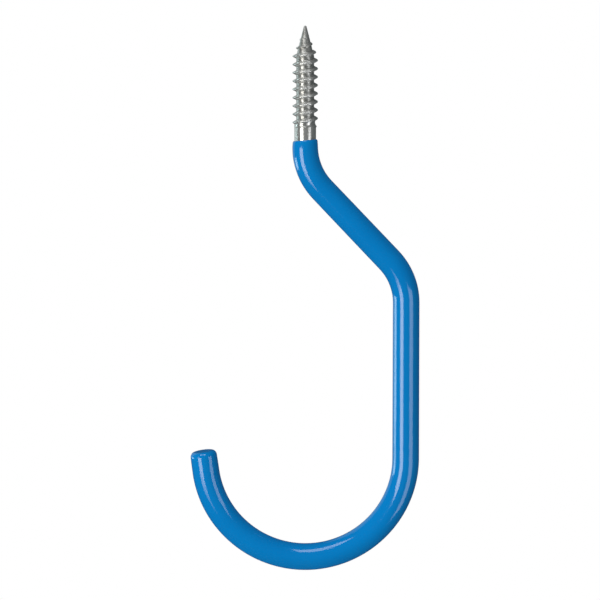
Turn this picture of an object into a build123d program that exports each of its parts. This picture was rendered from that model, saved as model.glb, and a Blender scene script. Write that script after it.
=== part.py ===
from build123d import *
import math
import os

# Screw-in bicycle hook: one bent steel rod with a wood thread rolled into its top end,
# dipped in vinyl from just below the thread to over its far tip.
#
# Frame: the origin is on the thread's axis at the mounting surface, where the thread runs
# out into the plain rod. +Z runs up the thread, into the timber. The hook hangs below it in
# the XZ plane: a neck, a slanted run out to +X, a straight leg, and a cradle that passes
# under the thread's axis and opens towards -X.

os.makedirs("parts", exist_ok=True)

# ---------------------------------------------------------------- driving dimensions, mm
# Steel rod
rod_diameter = 9.525            # 3/8 in stock
rod_end_chamfer = 0.8

# Wood thread, right-hand, rolled into the rod
thread_pitch = 25.4 / 7         # seven threads per inch
thread_rise = 0.8               # crest above the rod's surface
thread_depth = 0.85             # root below the rod's surface
thread_length = 45.0            # mounting surface to the point's end
ridge_start = -0.6              # height at which the ridge starts to rise, on the -X side
crest_width = 0.4
flank_angle = 28.0              # each flank, from square to the thread's axis
point_turns = 3                 # turns of the ridge on the tapered point
point_end_radius = 0.5          # the point's blunt end
point_bare_length = 1.5         # end of the point that the ridge doesn't reach

# Bends, on the rod's centreline
bare_length = 4.6               # bare rod between the mounting surface and the coating
neck_length = 3.5               # coated straight rod above the upper bend
upper_bend_radius = 27.4
slant_angle = 43.4              # slanted run, from vertical
lower_bend_radius = 27.6
leg_offset = 44.4               # thread axis to leg axis
leg_length = 69.2               # straight rod between the lower bend and the cradle
cradle_width = 76.6             # clear width between the cradle's coated sides, about 3 in
tip_lean = 7.8                  # how far the open end leans outwards
tip_length = 8.0                # straight rod past the cradle

# Vinyl coating
coating_wall = 1.24
coating_end_wall = 1.2          # over the rod's far end
coating_end_round = 2.2
lip_wall = 0.75                 # the thinner wall at the coating's top edge
lip_round = 0.5

# ---------------------------------------------------------------- sizes that follow
rod_radius = rod_diameter / 2
root_radius = rod_radius - thread_depth
crest_height = thread_rise + thread_depth
crest_half = crest_width / 2
flank_slope = math.tan(math.radians(flank_angle))
flank_foot = crest_half / 2                 # a flank's width where the ridge has no height
ridge_turns = int((thread_length - point_bare_length - ridge_start) / thread_pitch)
point_start = ridge_start + (ridge_turns - point_turns) * thread_pitch
thread_base = ridge_start - thread_pitch / 2

coated_radius = rod_radius + coating_wall
lip_top = -bare_length
lip_end = lip_top - neck_length / 2         # the lip reaches its full wall half way down the neck
neck_end = lip_top - neck_length
cradle_radius = cradle_width / 2 + coated_radius
slant_turn = math.radians(slant_angle)
bends_reach = (upper_bend_radius + lower_bend_radius) * (1 - math.cos(slant_turn))
slant_length = (leg_offset - bends_reach) / math.sin(slant_turn)
cradle_turn = 180 - tip_lean


# ---------------------------------------------------------------- centreline
def centreline(top, past_rod_end):
    """The rod's centreline in the XZ plane, from height top to past the rod's far end."""
    with BuildLine(Plane.XZ) as line:
        neck = Line((0, top), (0, neck_end))
        upper_bend = JernArc(neck @ 1, neck % 1, upper_bend_radius, slant_angle)
        slant = PolarLine(upper_bend @ 1, slant_length, direction=upper_bend % 1)
        lower_bend = JernArc(slant @ 1, slant % 1, lower_bend_radius, -slant_angle)
        leg = PolarLine(lower_bend @ 1, leg_length, direction=lower_bend % 1)
        cradle = JernArc(leg @ 1, leg % 1, cradle_radius, -cradle_turn)
        PolarLine(cradle @ 1, tip_length + past_rod_end, direction=cradle % 1)
    return line.line


def section_plane(line):
    """The plane square to the start of a line."""
    return Plane(origin=line @ 0, z_dir=line % 0)


def end_rim(swept, line):
    """The edge round the flat face at the far end of a swept line."""
    return swept.faces().filter_by(GeomType.PLANE).sort_by_distance(line @ 1)[0].edges()


# ---------------------------------------------------------------- thread
# The thread's surface is a shell of ruled strips between helical rails: lower flank, crest,
# upper flank and root. Each strip is a third of a turn long. The ridge grows out of the plain
# rod over its first turn, and dies out into the cone of the gimlet point over its last ones.
strips_per_turn = 3
strip_angle = 360 / strips_per_turn


def core_radius(height):
    """The radius that the ridge stands on: the thread's root, then the point's cone."""
    along_point = (height - point_start) / (thread_length - point_start)
    return root_radius + (point_end_radius - root_radius) * max(0, along_point)


def ridge_corners(turn):
    """The ridge's corners after whole turns, as (radius, height), from the lower foot up."""
    middle = ridge_start + turn * thread_pitch
    left = min(1, (ridge_turns - turn) / point_turns)
    rise = crest_height * left if turn > 0 else 0
    foot = crest_half + max(rise * flank_slope, flank_foot)
    corners = []
    for offset, added in ((-foot, 0), (-crest_half, rise), (crest_half, rise), (foot, 0)):
        height = middle + offset
        on_rod = turn == 0 or (turn == 1 and offset == -foot)
        radius = rod_radius if on_rod else core_radius(height) + added
        corners.append((radius, height))
    return corners


def rails(strip):
    """The four helical edges of the ridge along one strip, counted from the ridge's start."""
    turn, part = divmod(strip, strips_per_turn)
    edges = []
    for start, end in zip(ridge_corners(turn), ridge_corners(turn + 1)):
        cone = math.atan2(end[0] - start[0], end[1] - start[1])
        rise = (end[1] - start[1]) / strips_per_turn
        radius = start[0] + (end[0] - start[0]) * part / strips_per_turn
        rail = Helix(
            pitch=strips_per_turn * rise / math.cos(cone),
            height=rise,
            radius=radius,
            center=(0, 0, start[1] + part * rise),
            cone_angle=math.degrees(cone),
        )
        edges.append(rail.edge().rotate(Axis.Z, 180 + part * strip_angle))
    return edges


def ring_arcs(radius, height):
    """A level circle as arcs that match the strips, from the -X side round."""
    starts = [180 + part * strip_angle for part in range(strips_per_turn)]
    level = Plane.XY.offset(height)
    return [Edge.make_circle(radius, level, start, start + strip_angle) for start in starts]


ridge_rails = [rails(strip) for strip in range(ridge_turns * strips_per_turn)]
base_ring = ring_arcs(rod_radius, thread_base)
point_ring = ring_arcs(point_end_radius, thread_length)

thread_faces = [Face(Wire(base_ring)), Face(Wire(point_ring))]
for strip, edges in enumerate(ridge_rails):
    for lower, upper in zip(edges, edges[1:]):
        thread_faces.append(Face.make_surface_from_curves(lower, upper))
for below, above in zip(ridge_rails, ridge_rails[strips_per_turn:]):
    thread_faces.append(Face.make_surface_from_curves(below[-1], above[0]))
for ring, edges in zip(base_ring, ridge_rails):
    thread_faces.append(Face.make_surface_from_curves(ring, edges[0]))
for edges, ring in zip(ridge_rails[-strips_per_turn:], point_ring):
    thread_faces.append(Face.make_surface_from_curves(edges[-1], ring))
thread = Solid(Shell(thread_faces))

# ---------------------------------------------------------------- steel rod
rod_line = centreline(thread_base, 0)
with BuildPart() as plain_rod:
    with BuildSketch(section_plane(rod_line)):
        Circle(rod_radius)
    sweep(path=rod_line)
    chamfer(end_rim(plain_rod, rod_line), rod_end_chamfer)

with BuildPart() as steel_rod:
    add(plain_rod.part)
    add(thread, clean=False)
steel_rod.part.label = "steel_rod"
export_step(steel_rod.part, "parts/steel_rod.step")

# ---------------------------------------------------------------- vinyl coating
# A sleeve on the plain rod: a rounded lip that thickens down the neck, one wall round every
# bend, and a closed, rounded end over the rod's tip.
sleeve_line = centreline(lip_end, coating_end_wall)
with BuildPart() as vinyl_coating:
    with BuildSketch(section_plane(sleeve_line)):
        Circle(coated_radius)
    sweep(path=sleeve_line)
    fillet(end_rim(vinyl_coating, sleeve_line), coating_end_round)
    with BuildSketch(Plane.XZ) as lip_outline:
        with BuildLine():
            Polyline(
                (0, lip_top),
                (rod_radius + lip_wall, lip_top),
                (coated_radius, lip_end),
                (0, lip_end),
                close=True,
            )
        make_face()
        lip_corner = lip_outline.vertices().sort_by_distance((rod_radius + lip_wall, 0, lip_top))[0]
        fillet(lip_corner, lip_round)
    revolve(axis=Axis.Z)
    add(plain_rod.part, mode=Mode.SUBTRACT)
vinyl_coating.part.label = "vinyl_coating"
export_step(vinyl_coating.part, "parts/vinyl_coating.step")

# ---------------------------------------------------------------- printed sizes
for piece in (steel_rod.part, vinyl_coating.part):
    box = piece.bounding_box()
    print(piece.label, "solids", len(piece.solids()), "valid", piece.is_valid)
    print("  volume mm3", round(piece.volume, 1))
    print("  from", tuple(round(value, 2) for value in box.min), "to", tuple(round(value, 2) for value in box.max))
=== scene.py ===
import math

import bpy
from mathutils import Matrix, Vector


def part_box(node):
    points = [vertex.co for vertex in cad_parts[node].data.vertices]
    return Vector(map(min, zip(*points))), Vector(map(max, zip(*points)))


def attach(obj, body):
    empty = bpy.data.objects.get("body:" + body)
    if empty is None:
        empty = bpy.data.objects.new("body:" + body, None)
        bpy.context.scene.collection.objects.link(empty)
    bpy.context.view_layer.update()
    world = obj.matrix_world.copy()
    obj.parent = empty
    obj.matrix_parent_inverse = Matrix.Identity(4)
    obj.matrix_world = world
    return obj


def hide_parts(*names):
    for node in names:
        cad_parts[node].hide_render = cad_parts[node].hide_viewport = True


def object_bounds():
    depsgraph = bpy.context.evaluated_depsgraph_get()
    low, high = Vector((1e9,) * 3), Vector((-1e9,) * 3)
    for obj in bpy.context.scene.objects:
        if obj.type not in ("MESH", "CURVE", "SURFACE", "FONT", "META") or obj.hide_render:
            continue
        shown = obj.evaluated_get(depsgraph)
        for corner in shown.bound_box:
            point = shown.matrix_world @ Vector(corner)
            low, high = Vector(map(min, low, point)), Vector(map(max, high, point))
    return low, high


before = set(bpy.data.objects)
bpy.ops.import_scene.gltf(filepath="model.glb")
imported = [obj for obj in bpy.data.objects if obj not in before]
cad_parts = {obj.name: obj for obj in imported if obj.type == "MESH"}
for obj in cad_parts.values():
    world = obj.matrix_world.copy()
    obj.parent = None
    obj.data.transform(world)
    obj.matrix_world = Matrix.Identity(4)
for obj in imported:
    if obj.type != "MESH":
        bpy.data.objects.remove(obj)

# Looks of a screw-in bicycle hook: a steel rod with a wood thread rolled into its top end,
# bent to shape and dipped in blue vinyl. Each piece is made straight, as bar stock is, with
# its axis on Z, and is then bent as the real rod is. All sizes are in metres.

cad_low, cad_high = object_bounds()
_, rod_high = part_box("steel_rod")
coat_low, coat_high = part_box("vinyl_coating")

# ---------------------------------------------------------------- sizes
# Steel rod
ROD_RADIUS = 0.009525 / 2
ROD_END_CHAMFER = 0.0008

# Wood thread, right-hand
THREAD_PITCH = 0.0254 / 7
THREAD_RISE = 0.0008                 # crest above the rod's surface
THREAD_DEPTH = 0.00085               # root below the rod's surface
THREAD_TOP = rod_high.z
RIDGE_START = -0.001                 # where the ridge's first turn starts, on the -X side
RIDGE_GROWS_FROM = 0.15              # how far into its first turn the ridge starts to grow
RIDGE_GROWS_OVER = 0.7               # the part of that turn in which it grows
HOLLOW_STEEPNESS = 8                 # how fast the first groove's sides rise from its middle
CREST_WIDTH = 0.0004
FLANK_ANGLE = math.radians(28)
ROLLED_SOFTNESS = 0.00028            # how softly crest, flank and root run into each other
POINT_TURNS = 3                      # turns of the ridge on the tapered point
POINT_BARE_LENGTH = 0.0015
POINT_END_RADIUS = 0.0005
POINT_DOME = 0.6                     # height of the point's rounded end, in end radii

# Bends, on the rod's centreline
NECK_LENGTH = 0.0035
UPPER_BEND_RADIUS = 0.0274
SLANT_ANGLE = math.radians(43.4)
LOWER_BEND_RADIUS = 0.0276
LEG_OFFSET = 0.0444
LEG_LENGTH = 0.0692
CRADLE_WIDTH = 0.0766
CRADLE_TURN = math.radians(180 - 7.8)
TIP_LENGTH = 0.008

# Vinyl coating. It runs down the rod before it cures, so it is thinnest at its lip.
COATING_WALL = 0.00124
COATING_END_WALL = 0.0012
COATING_END_ROUND = 0.0022
COATING_TOP = coat_high.z
LIP_ROUND = 0.0009
LIP_TILT = 0.0011                    # from the lip's high side, +X -Y, to its low side
LIP_TILT_REACH = 0.004
LIP_SHORTFALL = 0.0003               # wall missing at the lip, regained within a few millimetres
LIP_REACH = 0.0018
NECK_SHORTFALL = 0.0002              # wall missing on the neck, regained within a few centimetres
NECK_REACH = 0.025
DRAIN_SHORTFALL = 0.00015            # wall missing at the top, regained evenly down to the tip
TIP_SHORTFALL = 0.0002               # wall missing round the tip's end
TIP_REACH = 0.004
UNEVENNESS = 0.00003
UNEVENNESS_SPACING = 0.009

# Sizes that follow
RIDGE_TURNS = int((THREAD_TOP - POINT_BARE_LENGTH - RIDGE_START) / THREAD_PITCH)
THREAD_BASE = RIDGE_START - THREAD_PITCH / 2
POINT_START = RIDGE_START + (RIDGE_TURNS - POINT_TURNS) * THREAD_PITCH
COATED_RADIUS = (coat_high.y - coat_low.y) / 2
CRADLE_RADIUS = CRADLE_WIDTH / 2 + ROD_RADIUS + COATING_WALL
BENDS_REACH = (UPPER_BEND_RADIUS + LOWER_BEND_RADIUS) * (1 - math.cos(SLANT_ANGLE))
SLANT_LENGTH = (LEG_OFFSET - BENDS_REACH) / math.sin(SLANT_ANGLE)

# Heights along the straight bar, before it is bent
UPPER_BEND_START = COATING_TOP - NECK_LENGTH
SLANT_START = UPPER_BEND_START - UPPER_BEND_RADIUS * SLANT_ANGLE
LOWER_BEND_START = SLANT_START - SLANT_LENGTH
LEG_START = LOWER_BEND_START - LOWER_BEND_RADIUS * SLANT_ANGLE
CRADLE_START = LEG_START - LEG_LENGTH
TIP_START = CRADLE_START - CRADLE_RADIUS * CRADLE_TURN
ROD_END = TIP_START - TIP_LENGTH
COATING_END = ROD_END - COATING_END_WALL

# Mesh
SIDES = 64                           # round the bar
RING_GAP = 0.0012                    # between rings along the bar
ROUNDING_STEPS = 8                   # in each rounded corner of a turned section
RINGS_PER_TURN = 28                  # along one pitch of the thread
WELD_DISTANCE = 0.000002


# ---------------------------------------------------------------- node trees
def find_socket(sockets, key):
    """The socket with this number, identifier or name."""
    if isinstance(key, int):
        return sockets[key]
    for socket in sockets:
        if socket.identifier == key:
            return socket
    return sockets[key]


class Value:
    """What a node gives out. Arithmetic on it adds Math nodes."""

    def __init__(self, graph, node, output=0):
        self.graph = graph
        self.node = node
        self.socket = find_socket(node.outputs, output)

    def also(self, output):
        """Another output of the same node."""
        return Value(self.graph, self.node, output)

    def __add__(self, other):
        return self.graph.math("ADD", self, other)

    def __sub__(self, other):
        return self.graph.math("SUBTRACT", self, other)

    def __mul__(self, other):
        return self.graph.math("MULTIPLY", self, other)

    def __truediv__(self, other):
        return self.graph.math("DIVIDE", self, other)

    def __radd__(self, other):
        return self.graph.math("ADD", other, self)

    def __rsub__(self, other):
        return self.graph.math("SUBTRACT", other, self)

    def __rmul__(self, other):
        return self.graph.math("MULTIPLY", other, self)

    def __rtruediv__(self, other):
        return self.graph.math("DIVIDE", other, self)

    def __neg__(self):
        return self.graph.math("MULTIPLY", self, -1)


class Graph:
    """Adds nodes to a node tree."""

    def __init__(self, tree):
        self.tree = tree
        tree.nodes.clear()

    def node(self, kind, settings=None, sockets=None, output=0):
        """Adds a node: its settings first, then the values or links of its sockets."""
        node = self.tree.nodes.new(kind)
        for name, value in (settings or {}).items():
            setattr(node, name, value)
        for name, value in (sockets or {}).items():
            socket = find_socket(node.inputs, name)
            if isinstance(value, Value):
                self.tree.links.new(value.socket, socket)
            else:
                socket.default_value = value
        return Value(self, node, output)

    def send(self, value, kind, socket):
        """Sends a value to the tree's output node."""
        output = self.tree.nodes.new(kind)
        self.tree.links.new(value.socket, output.inputs[socket])

    def math(self, operation, *values):
        return self.node("ShaderNodeMath", {"operation": operation}, dict(enumerate(values)))

    def lowest(self, a, b):
        return self.math("MINIMUM", a, b)

    def highest(self, a, b):
        return self.math("MAXIMUM", a, b)

    def limit(self, value, low=0.0, high=1.0):
        return self.lowest(self.highest(value, low), high)

    def ease(self, value):
        """A smooth change from 0 to 1, level at both ends."""
        return value * value * (3 - 2 * value)

    def fade(self, distance, reach):
        """1 at no distance, falling away over a reach."""
        return self.math("EXPONENT", -(distance / reach))

    def split(self, vector):
        """The three components of a vector."""
        parts = self.node("ShaderNodeSeparateXYZ", None, {"Vector": vector})
        return parts, parts.also("Y"), parts.also("Z")

    def join(self, x, y, z):
        """A vector from its components."""
        return self.node("ShaderNodeCombineXYZ", None, {"X": x, "Y": y, "Z": z})

    def noise(self, vector, scale, detail=2.0, seed=0.0):
        """A noise from 0 to 1, with a fixed seed."""
        sockets = {"Vector": vector, "W": seed, "Scale": scale, "Detail": detail}
        return self.node("ShaderNodeTexNoise", {"noise_dimensions": "4D"}, sockets, "Fac")


# ---------------------------------------------------------------- Geometry Nodes
SOCKET_KINDS = {
    float: "NodeSocketFloat",
    int: "NodeSocketInt",
    bpy.types.Material: "NodeSocketMaterial",
}


class Tree(Graph):
    """A Geometry Nodes tree with a geometry in and out, and a named input for each size."""

    def __init__(self, name, sizes):
        tree = bpy.data.node_groups.new(name, "GeometryNodeTree")
        super().__init__(tree)
        tree.is_modifier = True
        tree.interface.new_socket("Geometry", in_out="INPUT", socket_type="NodeSocketGeometry")
        tree.interface.new_socket("Geometry", in_out="OUTPUT", socket_type="NodeSocketGeometry")
        for size, kind in sizes.items():
            tree.interface.new_socket(size, in_out="INPUT", socket_type=SOCKET_KINDS[kind])
        self.given = tree.nodes.new("NodeGroupInput")

    def size(self, name):
        """One of the tree's inputs."""
        return Value(self, self.given, name)

    def geometry(self):
        return self.size("Geometry")

    def position(self):
        return self.node("GeometryNodeInputPosition")

    def move(self, geometry, position):
        """The geometry with its points at new positions."""
        sockets = {"Geometry": geometry, "Position": position}
        return self.node("GeometryNodeSetPosition", None, sockets)

    def grid(self, columns, rows):
        """A grid of faces, with each point's place across and along it from 0 to 1."""
        sockets = {"Size X": 1.0, "Size Y": 1.0, "Vertices X": columns, "Vertices Y": rows}
        mesh = self.node("GeometryNodeMeshGrid", None, sockets)
        across, along, _ = self.split(self.position())
        return mesh, across + 0.5, along + 0.5

    def round_the_bar(self, angle, radius, height):
        """A position from its angle, radius and height."""
        x = radius * self.math("COSINE", angle)
        y = radius * self.math("SINE", angle)
        return self.join(x, y, height)

    def group(self, tree, geometry, sizes):
        """Another tree, used inside this one."""
        sockets = {"Geometry": geometry, **sizes}
        return self.node("GeometryNodeGroup", {"node_tree": tree.tree}, sockets)

    def finish(self, geometry):
        self.send(geometry, "NodeGroupOutput", "Geometry")

    def weld_and_dress(self, geometry):
        """Welds seams and poles, smooths the shading, realizes instances and sets the material."""
        welded = self.node(
            "GeometryNodeMergeByDistance",
            None,
            {"Geometry": geometry, "Distance": WELD_DISTANCE},
        )
        smooth = self.node("GeometryNodeSetShadeSmooth", None, {"Geometry": welded})
        real = self.node("GeometryNodeRealizeInstances", None, {"Geometry": smooth})
        sockets = {"Geometry": real, "Material": self.size("Material")}
        self.finish(self.node("GeometryNodeSetMaterial", None, sockets))


def turning_tree():
    """Turns a section, an open line of corners in the XZ plane, round the Z axis.

    Each corner is rounded by its own radius, and rings are spaced along the straights. The
    line runs up the outside of the piece, so that its faces point outwards.
    """
    tree = Tree("turn a section", {"Sides": int, "Rounding Steps": int, "Ring Gap": float})
    line = tree.node("GeometryNodeMeshToCurve", None, {"Mesh": tree.geometry()})
    rounding = tree.node(
        "GeometryNodeInputNamedAttribute", {"data_type": "FLOAT"}, {"Name": "rounding"}
    )
    rounded = tree.node(
        "GeometryNodeFilletCurve",
        {"mode": "POLY"},
        {
            "Curve": line,
            "Count": tree.size("Rounding Steps"),
            "Radius": rounding,
            "Limit Radius": True,
        },
    )
    here = tree.position()
    next_point = tree.node(
        "GeometryNodeFieldAtIndex",
        {"data_type": "FLOAT_VECTOR", "domain": "POINT"},
        {"Value": here, "Index": tree.node("GeometryNodeInputIndex") + 1},
    )
    distance = tree.node(
        "ShaderNodeVectorMath", {"operation": "DISTANCE"}, {0: here, 1: next_point}, "Value"
    )
    cuts = tree.math("FLOOR", distance / tree.size("Ring Gap"))
    ringed = tree.node("GeometryNodeSubdivideCurve", None, {"Curve": rounded, "Cuts": cuts})
    section = tree.node("GeometryNodeCurveToMesh", None, {"Curve": ringed})
    rings = tree.node(
        "GeometryNodeAttributeDomainSize", {"component": "MESH"}, {"Geometry": section}
    )

    grid, across, along = tree.grid(tree.size("Sides") + 1, rings)
    corner = tree.node(
        "GeometryNodeSampleIndex",
        {"data_type": "FLOAT_VECTOR", "domain": "POINT", "clamp": True},
        {
            "Geometry": section,
            "Value": tree.position(),
            "Index": tree.math("ROUND", along * (rings - 1)),
        },
    )
    radius, _, height = tree.split(corner)
    turned = tree.move(grid, tree.round_the_bar(across * math.tau, radius, height))
    tree.finish(turned)
    return tree


def bending_tree():
    """Bends the part of a bar below Start round an axis square to the XZ plane.

    Side is 1 to bend it towards +X and -1 towards -X.
    """
    tree = Tree("bend the bar", {"Start": float, "Radius": float, "Turn": float, "Side": float})
    start, radius, side = tree.size("Start"), tree.size("Radius"), tree.size("Side")
    x, y, z = tree.split(tree.position())
    below = start - z
    above = tree.lowest(below, 0.0)
    angle = tree.limit(below / radius, 0.0, tree.size("Turn"))
    past = tree.highest(below - radius * tree.size("Turn"), 0.0)
    from_centre = radius - x * side
    sine = tree.math("SINE", angle)
    cosine = tree.math("COSINE", angle)
    bent_x = side * (radius - from_centre * cosine + past * sine)
    bent_z = start - above - from_centre * sine - past * cosine
    tree.finish(tree.move(tree.geometry(), tree.join(bent_x, y, bent_z)))
    return tree


def threading_tree():
    """A rolled wood thread with a gimlet point, from the plain rod up.

    The grid lies along the helix: a point's turns up the thread are the whole rows below it
    plus how far it is round the bar. The ridge stands in the middle of each pitch.
    """
    tree = Tree(
        "roll a wood thread",
        {
            "Sides": int,
            "Rings per Turn": int,
            "Base": float,
            "Top": float,
            "Pitch": float,
            "Rod Radius": float,
            "Rise": float,
            "Depth": float,
            "Crest Width": float,
            "Flank Slope": float,
            "Softness": float,
            "Ridge Turns": float,
            "Point Turns": float,
            "Point Start": float,
            "Point End Radius": float,
        },
    )
    base, top, pitch = tree.size("Base"), tree.size("Top"), tree.size("Pitch")
    rod_radius, rise, depth = tree.size("Rod Radius"), tree.size("Rise"), tree.size("Depth")
    softness, end_radius = tree.size("Softness"), tree.size("Point End Radius")
    point_start, ridge_turns = tree.size("Point Start"), tree.size("Ridge Turns")

    # One pass of rows below the ridge closes the thread down to a level ring, and the passes
    # above it close the point.
    passes = tree.math("CEIL", (top - base) / pitch) + 2
    rows = passes * tree.size("Rings per Turn")
    grid, around, along = tree.grid(tree.size("Sides") + 1, rows + 1)
    row = along * passes - 1
    height = base + pitch * (row + around)

    # The core: the thread's root, then the point's cone. The first groove is a shallow hollow
    # that deepens over one turn.
    root_radius = rod_radius - depth
    along_point = tree.limit((height - point_start) / (top - point_start))
    core = root_radius + (end_radius - root_radius) * along_point
    grooves = tree.math("FLOOR", row - 0.5) + around
    shallow = depth * (1 - tree.limit(grooves))
    from_middle = row - tree.math("ROUND", row)
    run_out = core + shallow * (1 + HOLLOW_STEEPNESS * from_middle * from_middle)
    groove = tree.lowest(run_out, rod_radius)

    # The ridge: it grows over its first turn, from just under the rod's surface, and dies out
    # over the last ones.
    ridge = tree.math("FLOOR", row)
    turns = ridge + around
    grown = tree.ease(tree.limit((turns - RIDGE_GROWS_FROM) / RIDGE_GROWS_OVER))
    left = tree.limit((ridge_turns - turns) / tree.size("Point Turns"))
    stands = (depth + (rise + softness) * grown) * left
    crest = core - softness + stands
    from_crest = tree.math("ABSOLUTE", row - ridge - 0.5) * pitch
    flank = crest - (from_crest - tree.size("Crest Width") / 2) / tree.size("Flank Slope")
    ridge_radius = tree.math("SMOOTH_MIN", crest, flank, softness)
    radius = tree.math("SMOOTH_MAX", groove, ridge_radius, softness)

    # The point's blunt end is a small dome.
    dome = end_radius * POINT_DOME
    over_dome = tree.limit((height - (top - dome)) / end_radius) * (math.pi / 2)
    level = tree.limit(height, base, top - dome) + dome * tree.math("SINE", over_dome)
    radius = radius * tree.math("COSINE", over_dome)
    thread = tree.move(grid, tree.round_the_bar(math.pi + around * math.tau, radius, level))
    both = tree.node("GeometryNodeJoinGeometry")
    tree.tree.links.new(thread.socket, both.node.inputs[0])
    tree.tree.links.new(tree.geometry().socket, both.node.inputs[0])
    tree.finish(both)
    return tree


TURN = turning_tree()
BEND = bending_tree()
THREAD = threading_tree()

TURNING = {"Sides": SIDES, "Rounding Steps": ROUNDING_STEPS, "Ring Gap": RING_GAP}


def bend_to_shape(tree, geometry):
    """The hook's three bends, made from the far end of the bar upwards."""
    for start, radius, turn, side in (
        (CRADLE_START, CRADLE_RADIUS, CRADLE_TURN, -1.0),
        (LOWER_BEND_START, LOWER_BEND_RADIUS, SLANT_ANGLE, -1.0),
        (UPPER_BEND_START, UPPER_BEND_RADIUS, SLANT_ANGLE, 1.0),
    ):
        sizes = {"Start": start, "Radius": radius, "Turn": turn, "Side": side}
        geometry = tree.group(BEND, geometry, sizes)
    return geometry


def rod_tree():
    """The rod: its plain bar turned, its thread rolled on, then bent."""
    tree = Tree("threaded and bent rod", {"Material": bpy.types.Material})
    bar = tree.group(TURN, tree.geometry(), TURNING)
    threaded = tree.group(
        THREAD,
        bar,
        {
            "Sides": SIDES,
            "Rings per Turn": RINGS_PER_TURN,
            "Base": THREAD_BASE,
            "Top": THREAD_TOP,
            "Pitch": THREAD_PITCH,
            "Rod Radius": ROD_RADIUS,
            "Rise": THREAD_RISE,
            "Depth": THREAD_DEPTH,
            "Crest Width": CREST_WIDTH,
            "Flank Slope": math.tan(FLANK_ANGLE),
            "Softness": ROLLED_SOFTNESS,
            "Ridge Turns": float(RIDGE_TURNS),
            "Point Turns": float(POINT_TURNS),
            "Point Start": POINT_START,
            "Point End Radius": POINT_END_RADIUS,
        },
    )
    tree.weld_and_dress(bend_to_shape(tree, threaded))
    return tree


def coating_tree():
    """The coating: a sleeve whose wall thins towards its lip, then bent with the rod."""
    tree = Tree(
        "dipped vinyl",
        {
            "Rod Radius": float,
            "Full Wall": float,
            "Lip Height": float,
            "Length": float,
            "Lip Shortfall": float,
            "Lip Reach": float,
            "Neck Shortfall": float,
            "Neck Reach": float,
            "Drain Shortfall": float,
            "Tip Shortfall": float,
            "Tip Reach": float,
            "Lip Tilt": float,
            "Lip Tilt Reach": float,
            "Unevenness": float,
            "Unevenness Spacing": float,
            "Material": bpy.types.Material,
        },
    )
    rod_radius, full_wall = tree.size("Rod Radius"), tree.size("Full Wall")
    unevenness = tree.size("Unevenness")
    sleeve = tree.group(TURN, tree.geometry(), TURNING)
    here = tree.position()
    x, y, z = tree.split(here)
    radius = tree.math("SQRT", x * x + y * y)
    down = tree.size("Lip Height") - z

    missing = (
        tree.size("Lip Shortfall") * tree.fade(down, tree.size("Lip Reach"))
        + tree.size("Neck Shortfall") * tree.fade(down, tree.size("Neck Reach"))
        + tree.size("Drain Shortfall") * (1 - down / tree.size("Length"))
        + tree.size("Tip Shortfall") * tree.fade(tree.size("Length") - down, tree.size("Tip Reach"))
        + unevenness * tree.noise(here, 1 / tree.size("Unevenness Spacing"))
    )
    wall = tree.highest(radius - rod_radius, 0.0)
    new_radius = tree.lowest(radius, rod_radius) + wall * (1 - missing / full_wall)
    stretch = new_radius / tree.highest(radius, WELD_DISTANCE)
    across = (x - y) / (rod_radius * math.sqrt(2))
    tilt = (1 - across) / 2 * tree.size("Lip Tilt")
    droop = tree.highest(tilt, 0.0) * tree.fade(down, tree.size("Lip Tilt Reach"))
    dipped = tree.move(sleeve, tree.join(x * stretch, y * stretch, z - droop))
    tree.weld_and_dress(bend_to_shape(tree, dipped))
    return tree


def section_line(name, corners):
    """A mesh line through corners given as (radius, height, rounding)."""
    mesh = bpy.data.meshes.new(name)
    points = [(radius, 0, height) for radius, height, _ in corners]
    mesh.from_pydata(points, [(i, i + 1) for i in range(len(points) - 1)], [])
    rounding = mesh.attributes.new("rounding", "FLOAT", "POINT")
    rounding.data.foreach_set("value", [corner[2] for corner in corners])
    return mesh


def make_piece(name, section, tree, values, body, node):
    """Runs a tree on a section, keeps the result as a plain mesh and puts it in the frame."""
    piece = bpy.data.objects.new(name, section)
    bpy.context.scene.collection.objects.link(piece)
    modifier = piece.modifiers.new(tree.tree.name, "NODES")
    modifier.node_group = tree.tree
    for item in tree.tree.interface.items_tree:
        if item.in_out == "INPUT" and item.name in values:
            modifier[item.identifier] = values[item.name]
    evaluated = piece.evaluated_get(bpy.context.evaluated_depsgraph_get())
    mesh = bpy.data.meshes.new_from_object(evaluated)
    piece.modifiers.clear()
    piece.data = mesh
    mesh.name = name
    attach(piece, body)
    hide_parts(node)


# ---------------------------------------------------------------- materials
VINYL_DEEP = (0.0, 0.165, 0.475)
VINYL_LIGHT = (0.0, 0.185, 0.505)
VINYL_PEEL = 0.000004                # height of its orange peel
ZINC_BRIGHT = (0.92, 0.93, 0.93)
# ZINC_DULL is the darker zinc of the clouding. It is also the colour deep in the thread's grooves,
# where it is partly grime and partly painted shade.
ZINC_DULL = (0.4, 0.4, 0.38)
ZINC_MARKS = 0.00003                 # height of the marks of rolling
ZINC_MARKS_DRAWN = 0.05              # their width is this share of their length round the bar


def new_material(name):
    """A material with nothing in it yet, and the graph that fills it."""
    material = bpy.data.materials.new(name)
    material.use_nodes = True
    return material, Graph(material.node_tree)


def mix_colours(graph, factor, first, second):
    return graph.node(
        "ShaderNodeMix",
        {"data_type": "RGBA"},
        {"Factor_Float": factor, "A_Color": (*first, 1), "B_Color": (*second, 1)},
        "Result_Color",
    )


def bump(graph, height, distance):
    """A normal from a height of 0 to 1 that stands for a distance in metres."""
    return graph.node("ShaderNodeBump", None, {"Height": height, "Distance": distance})


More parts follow.
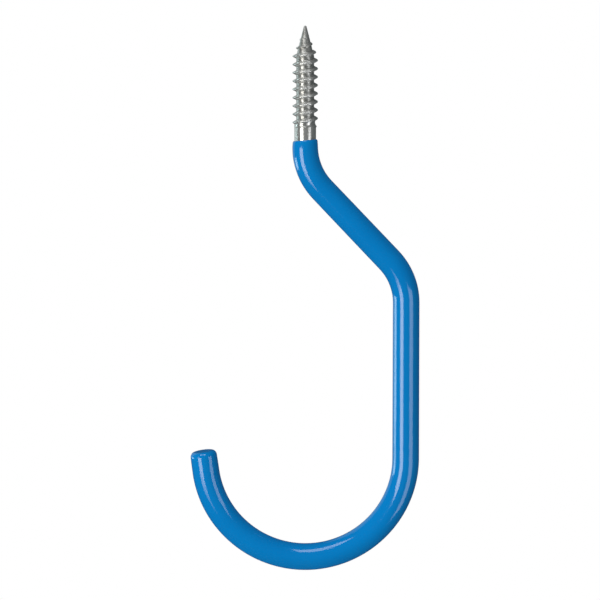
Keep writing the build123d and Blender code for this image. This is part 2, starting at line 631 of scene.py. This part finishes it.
def blue_vinyl():
    """Glossy dip-moulded vinyl, with a faint orange peel."""
    material, graph = new_material("blue vinyl")
    place = graph.node("ShaderNodeTexCoord", output="Object")
    peel = graph.noise(place, scale=200, detail=1.0, seed=1.0)
    cloud = graph.noise(place, scale=60, detail=3.0, seed=2.0)
    colour = mix_colours(graph, cloud, VINYL_DEEP, VINYL_LIGHT)
    shader = graph.node(
        "ShaderNodeBsdfPrincipled",
        None,
        {
            "Base Color": colour,
            "Roughness": 0.085 + 0.03 * cloud,
            "IOR": 1.5,
            "Normal": bump(graph, peel, VINYL_PEEL),
        },
    )
    graph.send(shader, "ShaderNodeOutputMaterial", "Surface")
    return material


def zinc_plate():
    """Bright zinc over steel, clouded, with faint marks of the rolling round the bar.

    It is smoother round the bar than along it, and rougher in the thread's grooves. Its colour is
    darker there too, partly as grime and partly as painted shade.
    """
    material, graph = new_material("zinc-plated steel")
    place = graph.node("ShaderNodeTexCoord", output="Object")
    x, y, z = graph.split(place)
    drawn_place = graph.join(x * ZINC_MARKS_DRAWN, y * ZINC_MARKS_DRAWN, z)
    rolled = graph.noise(drawn_place, scale=3000, detail=2.0, seed=3.0)
    cloud = graph.noise(place, scale=500, detail=4.0, seed=4.0)
    radius = graph.math("SQRT", x * x + y * y)
    # in_groove: how deep a point lies in the thread's grooves. It darkens the colour there, partly
    # as grime and partly as painted shade, and roughens the surface.
    in_groove = graph.limit((ROD_RADIUS - radius) / THREAD_DEPTH)
    tone = graph.limit(1.2 * cloud - 0.4 + 0.2 * rolled + 0.35 * in_groove)
    colour = mix_colours(graph, tone, ZINC_BRIGHT, ZINC_DULL)
    shader = graph.node(
        "ShaderNodeBsdfPrincipled",
        None,
        {
            "Base Color": colour,
            "Metallic": 0.82,
            "Roughness": 0.23 + 0.06 * cloud + 0.1 * in_groove,
            "Anisotropic": 0.8,
            "Anisotropic Rotation": 0.25,
            "Normal": bump(graph, rolled, ZINC_MARKS),
        },
    )
    graph.send(shader, "ShaderNodeOutputMaterial", "Surface")
    return material


# ---------------------------------------------------------------- the pieces
make_piece(
    "threaded_rod",
    section_line(
        "rod section",
        (
            (0, ROD_END, 0),
            (ROD_RADIUS - ROD_END_CHAMFER, ROD_END, 0),
            (ROD_RADIUS, ROD_END + ROD_END_CHAMFER, 0),
            (ROD_RADIUS, THREAD_BASE, 0),
        ),
    ),
    rod_tree(),
    {"Material": zinc_plate()},
    body="root",
    node="steel_rod",
)

make_piece(
    "dipped_coating",
    section_line(
        "coating section",
        (
            (0, COATING_END, 0),
            (COATED_RADIUS, COATING_END, COATING_END_ROUND),
            (COATED_RADIUS, COATING_TOP, LIP_ROUND),
            (ROD_RADIUS, COATING_TOP, 0),
            (ROD_RADIUS, ROD_END + ROD_END_CHAMFER, 0),
            (ROD_RADIUS - ROD_END_CHAMFER, ROD_END, 0),
            (0, ROD_END, 0),
        ),
    ),
    coating_tree(),
    {
        "Rod Radius": ROD_RADIUS,
        "Full Wall": COATED_RADIUS - ROD_RADIUS,
        "Lip Height": COATING_TOP,
        "Length": COATING_TOP - COATING_END,
        "Lip Shortfall": LIP_SHORTFALL,
        "Lip Reach": LIP_REACH,
        "Neck Shortfall": NECK_SHORTFALL,
        "Neck Reach": NECK_REACH,
        "Drain Shortfall": DRAIN_SHORTFALL,
        "Tip Shortfall": TIP_SHORTFALL,
        "Tip Reach": TIP_REACH,
        "Lip Tilt": LIP_TILT,
        "Lip Tilt Reach": LIP_TILT_REACH,
        "Unevenness": UNEVENNESS,
        "Unevenness Spacing": UNEVENNESS_SPACING,
        "Material": blue_vinyl(),
    },
    body="root",
    node="vinyl_coating",
)

# ---------------------------------------------------------------- studio
CENTRE = (cad_low + cad_high) / 2

# Camera
VIEW_DISTANCE = 2.0
VIEW_ELEVATION = math.radians(8)
VIEW_WIDTH = 0.2636                  # seen across the hook's plane
AIM_LEFT = 0.0021                    # the hook stands a little right of the middle

# Surroundings. Heights are above the hook's centre.
FLOOR_DROP = 1.0                     # the hook hangs this far above the floor
FLOOR_RADIUS = 4.0
FLOOR_SIDES = 72
FLOOR_LIFT = 0.55                    # what brings the floor up to near white
CLOTH_RADIUS = 2.6
CLOTH_BOTTOM = -1.0
CLOTH_TOP = 2.4
CLOTH_SIDES = 48
# The cloths are a painted glow: a faint cool-grey emission that stands in for the stray light a
# black cloth sends back.
CLOTH_COLOUR = (0.8, 1, 1, 1)
CLOTH_GLOW = 0.055                   # stray light that the black cloths send back
AMBIENT = 0.49                       # the even light on surfaces, where white is 1
WHITE = (1, 1, 1, 1)

# Tints of the lamps
PLAIN = (1, 1, 1)
WARM = (1, 0.97, 0.9)
COOL = (0.76, 1, 1)
FAINTLY_COOL = (0.85, 1, 1)


def direction(azimuth, elevation=0.0):
    """A way out from the hook: azimuth 0 is towards the camera, 90 towards +X. In degrees."""
    turn, rise = math.radians(azimuth), math.radians(elevation)
    level = Vector((math.sin(turn), -math.cos(turn), 0)) * math.cos(rise)
    return level + Vector((0, 0, math.sin(rise)))


def ring(sides, radius, height):
    """Points spaced evenly round the hook, this far above its centre."""
    level = CENTRE + Vector((0, 0, height))
    return [level + direction(360 * side / sides) * radius for side in range(sides)]


def add_object(name, data):
    """An object for a mesh, a light or a camera."""
    holder = bpy.data.objects.new(name, data)
    bpy.context.scene.collection.objects.link(holder)
    return holder


def add_camera():
    camera = bpy.data.cameras.new("camera")
    camera.sensor_width = 36
    camera.lens = camera.sensor_width * VIEW_DISTANCE / VIEW_WIDTH
    camera.clip_start = 0.01
    camera.clip_end = 100
    holder = add_object("camera", camera)
    back = Vector((0, -math.cos(VIEW_ELEVATION), math.sin(VIEW_ELEVATION)))
    aim = CENTRE - Vector((AIM_LEFT, 0, 0))
    holder.location = aim + back * VIEW_DISTANCE
    holder.rotation_euler = (-back).to_track_quat("-Z", "Y").to_euler()
    bpy.context.scene.camera = holder


def add_softbox(name, where, distance, low, high, width, radiance, tint=PLAIN):
    """A soft light that faces the hook from (azimuth, elevation), low to high about its centre."""
    light = bpy.data.lights.new(name, "AREA")
    light.shape = "RECTANGLE"
    light.size = width
    light.size_y = high - low
    light.energy = radiance * math.pi * light.size * light.size_y
    light.color = tint
    holder = add_object(name, light)
    out = direction(*where)
    facing = (-out).to_track_quat("-Z", "Y")
    up = facing @ Vector((0, 1, 0))
    holder.location = CENTRE + out * distance + up * (low + high) / 2
    holder.rotation_euler = facing.to_euler()
    return holder


def add_key_light():
    """A tall softbox that fades towards its foot. Gloss doesn't show its upper part."""
    key = {"where": (-37, 0), "distance": 1.5, "width": 0.75, "tint": WARM}
    for low, high, radiance in ((-0.47, 0.01, 6.6), (-0.6, -0.47, 4.2), (-0.72, -0.6, 2.2)):
        add_softbox("key softbox", low=low, high=high, radiance=radiance, **key)
    upper_part = add_softbox("key softbox", low=0.01, high=0.35, radiance=6.6, **key)
    upper_part.visible_glossy = False


def add_cards():
    """Lit cards. Only gloss shows the fill card and the back card."""
    fill_card = add_softbox(
        "fill card", (50, 0), distance=0.3, low=-0.26, high=0.016, width=0.15, radiance=2.8
    )
    fill_card.visible_diffuse = False
    add_softbox(
        "rim card",
        (-107, 0),
        distance=0.6,
        low=-0.185,
        high=-0.08,
        width=0.3,
        radiance=4.8,
        tint=COOL,
    )
    back_card = add_softbox(
        "back card",
        (-138, 0),
        distance=0.9,
        low=-0.24,
        high=1.0,
        width=0.86,
        radiance=0.5,
        tint=FAINTLY_COOL,
    )
    back_card.visible_diffuse = False


def add_stage(name, points, faces, material):
    """A surface of the studio, which isn't part of the object."""
    mesh = bpy.data.meshes.new(name)
    mesh.from_pydata(points, [], faces)
    mesh.materials.append(material)
    surface = add_object(name, mesh)
    return surface


def dark_cloth():
    """Black cloth, drawn as a painted glow: an emission that gives it the very dark, cool grey that
    a studio's stray light would.
    """
    material, graph = new_material("dark cloth")
    sockets = {"Color": CLOTH_COLOUR, "Strength": CLOTH_GLOW}
    cloth = graph.node("ShaderNodeEmission", None, sockets)
    graph.send(cloth, "ShaderNodeOutputMaterial", "Surface")
    return material


def add_cloths():
    """Cloths all round, over and under the studio.

    Only gloss shows them, as painted dark reflections with a faint painted glow, so that the dark
    shapes in it stay as they are in a studio.
    """
    low = ring(CLOTH_SIDES, CLOTH_RADIUS, CLOTH_BOTTOM)
    high = ring(CLOTH_SIDES, CLOTH_RADIUS, CLOTH_TOP)
    walls = []
    for side in range(CLOTH_SIDES):
        after = (side + 1) % CLOTH_SIDES
        walls.append((side, side + CLOTH_SIDES, after + CLOTH_SIDES, after))
    square = [(-1, -1), (1, -1), (1, 1), (-1, 1)]
    material = dark_cloth()
    cloths = [add_stage("drape", low + high, walls, material)]
    for name, height in (("ceiling sheet", CLOTH_TOP), ("ground sheet", CLOTH_BOTTOM)):
        corners = [CENTRE + Vector((x * CLOTH_RADIUS, y * CLOTH_RADIUS, height)) for x, y in square]
        cloths.append(add_stage(name, corners, [(0, 1, 2, 3)], material))
    for cloth in cloths:
        cloth.visible_camera = False
        cloth.visible_diffuse = False
        cloth.visible_shadow = False


def seen_directly(graph):
    """1 for what is seen directly, in gloss or through glass, and 0 for light on surfaces."""
    path = graph.node("ShaderNodeLightPath", output="Is Camera Ray")
    seen = graph.highest(path, path.also("Is Glossy Ray"))
    return graph.highest(seen, path.also("Is Transmission Ray"))


def pale_floor():
    """Pale grey under the studio's dim light, brought up to near white where it is seen."""
    material, graph = new_material("pale floor")
    sockets = {
        "Base Color": (0.8, 0.8, 0.8, 1),
        "Roughness": 1.0,
        "Specular IOR Level": 0.0,
        "Emission Color": WHITE,
        "Emission Strength": FLOOR_LIFT * seen_directly(graph),
    }
    shader = graph.node("ShaderNodeBsdfPrincipled", None, sockets)
    graph.send(shader, "ShaderNodeOutputMaterial", "Surface")
    return material


def add_floor():
    """A round floor, facing up."""
    rim = ring(FLOOR_SIDES, FLOOR_RADIUS, cad_low.z - FLOOR_DROP - CENTRE.z)
    add_stage("floor", rim[::-1], [tuple(range(FLOOR_SIDES))], pale_floor())


def add_world():
    """A white backdrop for what is seen directly or in gloss, and a dim even light on the rest."""
    world = bpy.data.worlds.new("studio")
    world.use_nodes = True
    bpy.context.scene.world = world
    graph = Graph(world.node_tree)
    strength = AMBIENT + (1 - AMBIENT) * seen_directly(graph)
    background = graph.node("ShaderNodeBackground", None, {"Color": WHITE, "Strength": strength})
    graph.send(background, "ShaderNodeOutputWorld", "Surface")


add_camera()
add_key_light()
add_cards()
add_softbox(
    "overhead softbox", (-25, 60), distance=1.5, low=-0.3, high=0.3, width=1.1, radiance=4.0
)
add_cloths()
add_floor()
add_world()
bpy.context.scene.view_settings.view_transform = "Standard"
